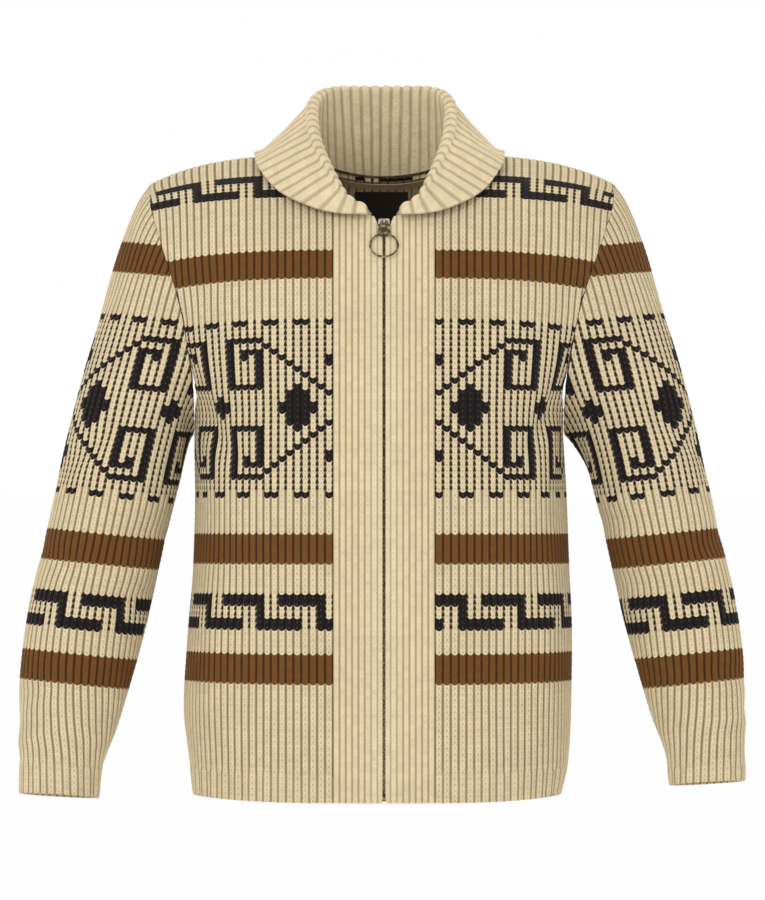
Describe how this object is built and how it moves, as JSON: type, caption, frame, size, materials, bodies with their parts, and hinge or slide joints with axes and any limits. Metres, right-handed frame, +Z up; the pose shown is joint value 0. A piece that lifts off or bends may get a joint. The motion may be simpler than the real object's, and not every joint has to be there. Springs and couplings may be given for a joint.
{
  "type": "cowichan cardigan",
  "caption": "Thick knitted zip cardigan with a ribbed shawl collar, geometric bands and a ring zip pull, filled out as worn and hollow.",
  "frame": {"origin": "middle of the neck at the height of the shoulders, where the wearer holds the garment up", "axes": "+Z up, out of the collar; -Y the way the wearer faces; +X the wearer's left"},
  "size_m": [0.7765, 0.2789, 0.766],
  "materials": {
    "knit": "cream wool, chunky knit with brown and near-black patterns",
    "rib": "cream wool, ribbed",
    "label": "black woven, blank",
    "tape": "beige woven tape",
    "brass": "dark antique brass"
  },
  "bodies": {
    "root": {"back": "knit", "front_right": "knit", "front_left": "knit", "band_right": "rib", "band_left": "rib", "sleeve_right": "knit", "sleeve_left": "knit", "collar": "rib", "neck_tape": "rib", "neck_label": "label", "size_tab": "label", "zip_tape_right": "tape", "zip_tape_left": "tape", "zip_chain": "brass", "zip_box": "brass", "zip_slider": "brass"},
    "pull_tab": {"pull_tab": "brass"},
    "pull_ring": {"pull_ring": "brass"}
  },
  "joints": [
    {"name": "tab_hinge", "type": "hinge", "parent": "root", "child": "pull_tab", "pos_m": [0, -0.11272, -0.0625], "axis": [-1, 0, 0], "range_deg": [0, 145]},
    {"name": "ring_hinge", "type": "hinge", "parent": "pull_tab", "child": "pull_ring", "pos_m": [0, -0.11804, -0.07567], "axis": [-1, 0, 0], "range_deg": [0, 105]}
  ]
}
